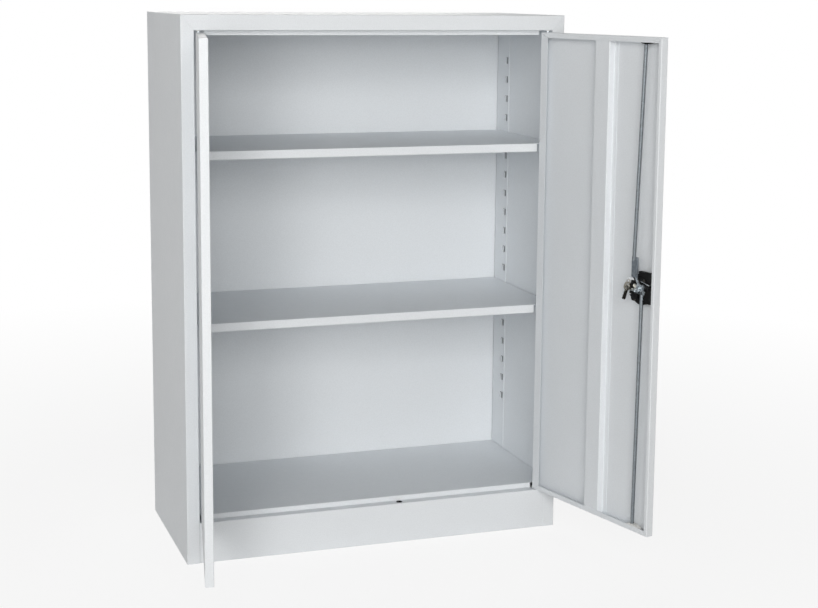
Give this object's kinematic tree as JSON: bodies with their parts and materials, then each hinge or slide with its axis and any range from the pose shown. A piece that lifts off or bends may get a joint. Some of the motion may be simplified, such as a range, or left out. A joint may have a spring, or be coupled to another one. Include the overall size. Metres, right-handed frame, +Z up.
{
  "type": "tool cabinet",
  "caption": "Low sheet-steel tool cabinet with inset double doors, loose shelves hung on slotted uprights, and a turn handle that shoots rods at the door's top and bottom.",
  "frame": {"origin": "middle of the base on the floor, the centre of the foot ring", "axes": "+Z up, +X to the right seen from the front, +Y from the doors to the back panel; the doors are stored open"},
  "size_m": [1.0243, 0.8203, 1.25],
  "materials": {
    "carcass_coating": "light grey fine-textured powder coat",
    "door_coating": "light grey fine-textured powder coat",
    "zinc_plate": "bright zinc plate",
    "black_plastic": "moulded, fine satin",
    "pale_plastic": "moulded nylon",
    "nickel_plate": "nickel plate, lightly worn"
  },
  "bodies": {
    "carcass": {"left_side_panel": "carcass_coating", "right_side_panel": "carcass_coating", "back_panel": "carcass_coating", "top_panel": "carcass_coating", "floor_panel": "carcass_coating", "plinth_panel": "carcass_coating", "base_frame": "carcass_coating", "left_front_upright": "carcass_coating", "left_rear_upright": "carcass_coating", "right_front_upright": "carcass_coating", "right_rear_upright": "carcass_coating", "lower_shelf": "carcass_coating", "upper_shelf": "carcass_coating", "lower_shelf_clips": "zinc_plate", "upper_shelf_clips": "zinc_plate", "hinge_bushes": "pale_plastic"},
    "left_door": {"left_door_panel": "door_coating", "left_door_stiffener": "door_coating", "left_door_pins": "zinc_plate"},
    "right_door": {"right_door_panel": "door_coating", "right_door_stiffener": "door_coating", "right_door_pins": "zinc_plate", "lock_cup": "black_plastic", "lock_case": "black_plastic", "lock_case_screws": "zinc_plate", "upper_rod_guide": "black_plastic", "lower_rod_guide": "pale_plastic"},
    "handle": {"turn_handle": "black_plastic", "lock_spindle": "zinc_plate", "lock_cam": "zinc_plate"},
    "key_plug": {"key_plug": "nickel_plate"},
    "upper_rod": {"upper_lock_rod": "zinc_plate", "upper_rod_strap": "zinc_plate"},
    "lower_rod": {"lower_lock_rod": "zinc_plate", "lower_rod_strap": "zinc_plate"},
    "keys": {"key_ring": "nickel_plate", "first_key": "nickel_plate", "second_key": "nickel_plate"}
  },
  "joints": [
    {"name": "left_door_hinge", "type": "hinge", "parent": "carcass", "child": "left_door", "pos_m": [-0.4172, -0.202, 0.65], "axis": [0, 0, -1], "range_deg": [-100.8, 14.2]},
    {"name": "right_door_hinge", "type": "hinge", "parent": "carcass", "child": "right_door", "pos_m": [0.4172, -0.202, 0.65], "axis": [0, 0, 1], "range_deg": [-103.7, 11.3]},
    {"name": "handle_turn", "type": "hinge", "parent": "right_door", "child": "handle", "pos_m": [0.50852, -0.55337, 0.6537], "axis": [0.9715, 0.2368, 0], "range_deg": [0, 90]},
    {"name": "upper_rod_slide", "type": "slide", "parent": "right_door", "child": "upper_rod", "axis": [0.0217, -0.0167, 0.9996], "range_m": [0, 0.01817]},
    {"name": "lower_rod_slide", "type": "slide", "parent": "right_door", "child": "lower_rod", "axis": [0.0032, 0.03, -0.9995], "range_m": [0, 0.0183]},
    {"name": "key_turn", "type": "hinge", "parent": "handle", "child": "key_plug", "pos_m": [0.51726, -0.55124, 0.6537], "axis": [0.9715, 0.2368, 0], "range_deg": [0, 90]},
    {"name": "keys_swing", "type": "hinge", "parent": "right_door", "child": "keys", "pos_m": [0.48021, -0.53016, 0.6742], "axis": [-0.2368, 0.9715, 0], "range_deg": [-3, 30]}
  ],
  "couplings": [
    {"joint": "handle_turn", "follows": "upper_rod_slide", "rad_per_m": 86.43},
    {"joint": "lower_rod_slide", "follows": "upper_rod_slide", "ratio": 1}
  ]
}
